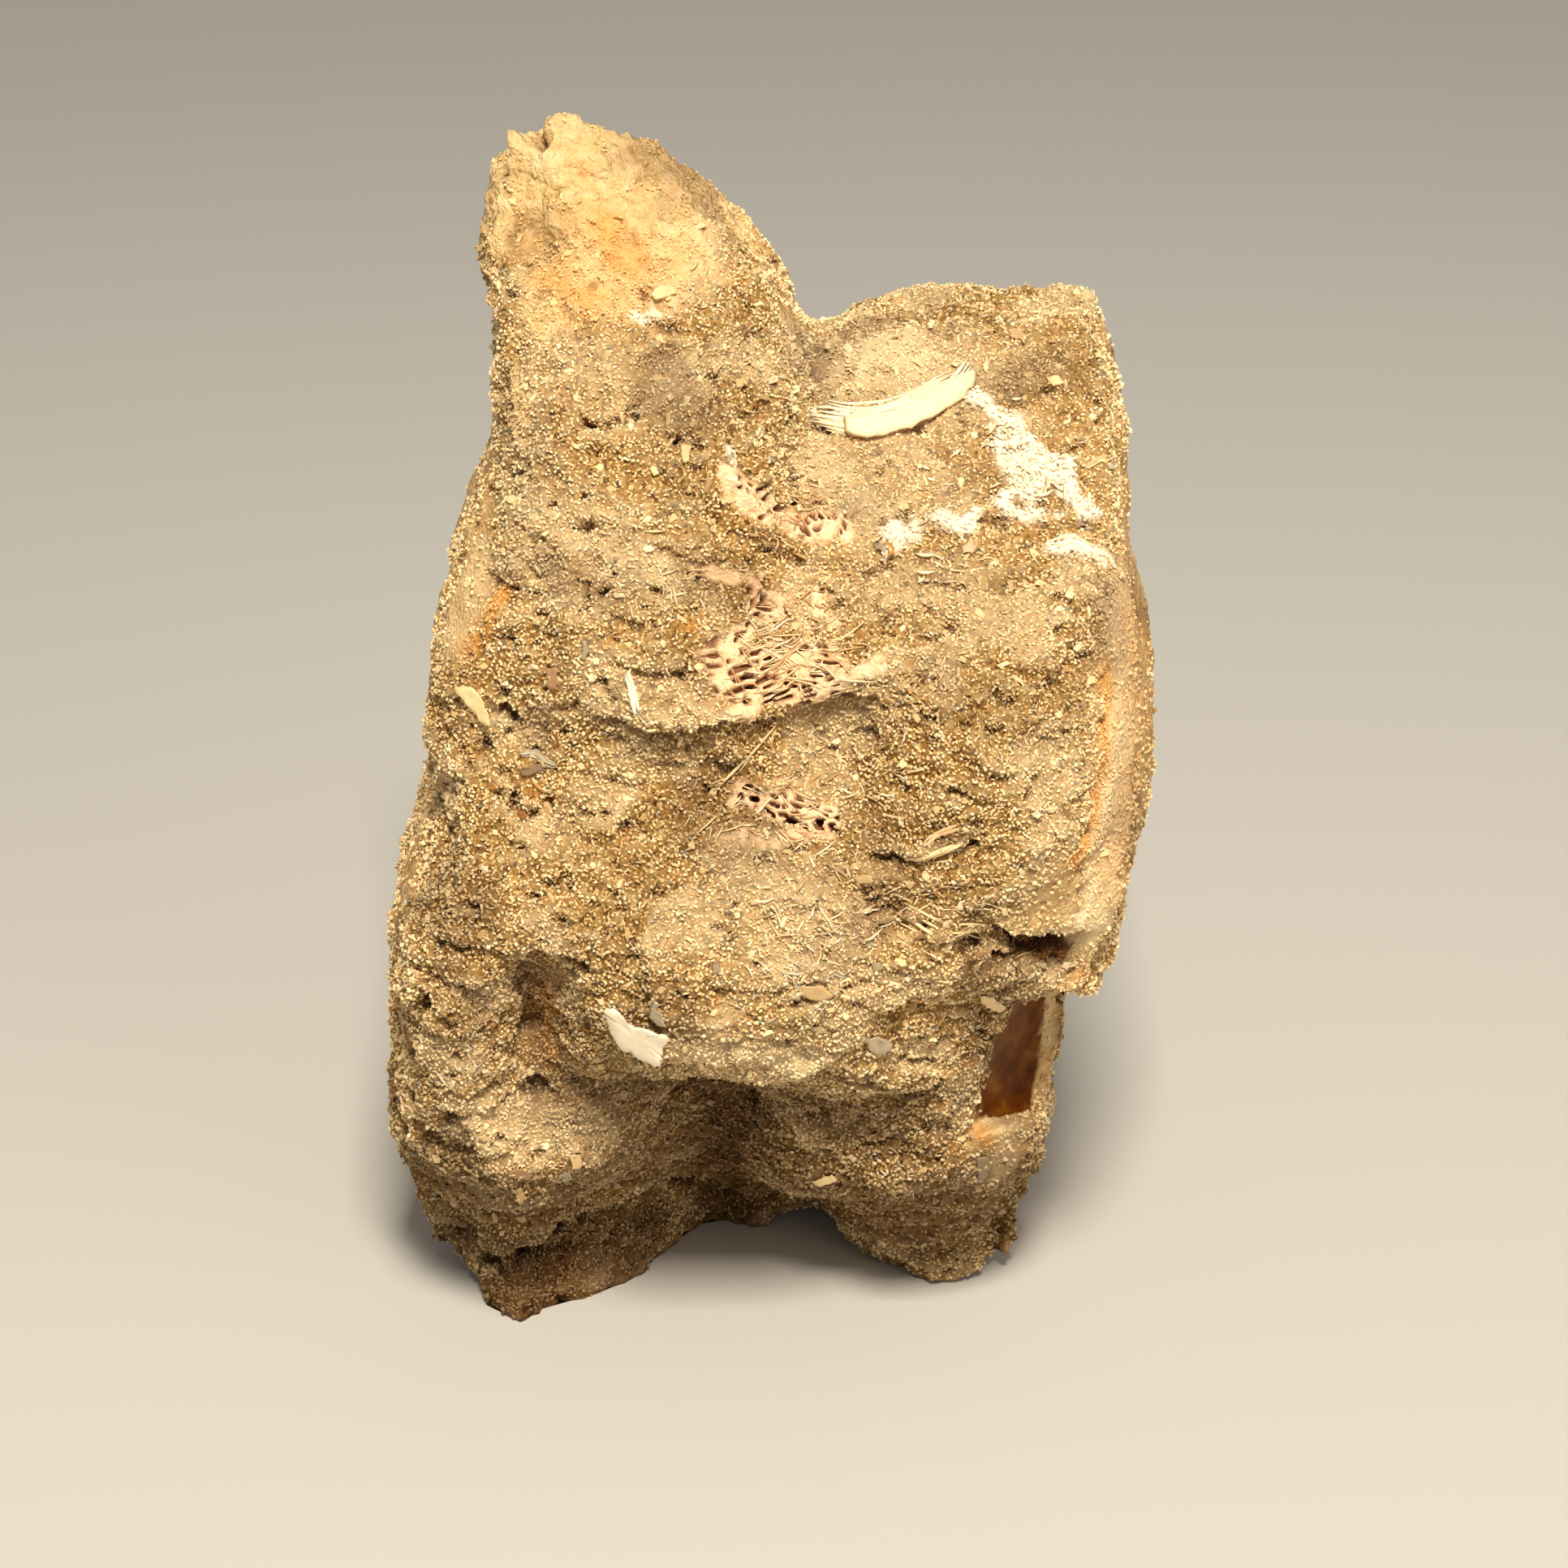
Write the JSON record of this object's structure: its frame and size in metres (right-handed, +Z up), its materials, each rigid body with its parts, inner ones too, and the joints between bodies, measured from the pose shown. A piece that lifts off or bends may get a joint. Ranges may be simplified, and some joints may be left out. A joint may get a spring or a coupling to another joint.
{
  "type": "fossil vertebra",
  "caption": "Broken fossil mosasaur vertebra in rough sandy matrix, standing upright on its flat-padded base, for display.",
  "frame": {"origin": "on the floor, under the middle of the part's bounding box", "axes": "+Z up along the length of the standing fossil, -Y the way its rough broken face looks, +X to the right of that face"},
  "size_m": [0.05, 0.0494, 0.0802],
  "materials": {
    "stone": "rough cemented sand with exposed fossil bone"
  },
  "bodies": {
    "root": {"vertebra": "stone"}
  },
  "joints": []
}
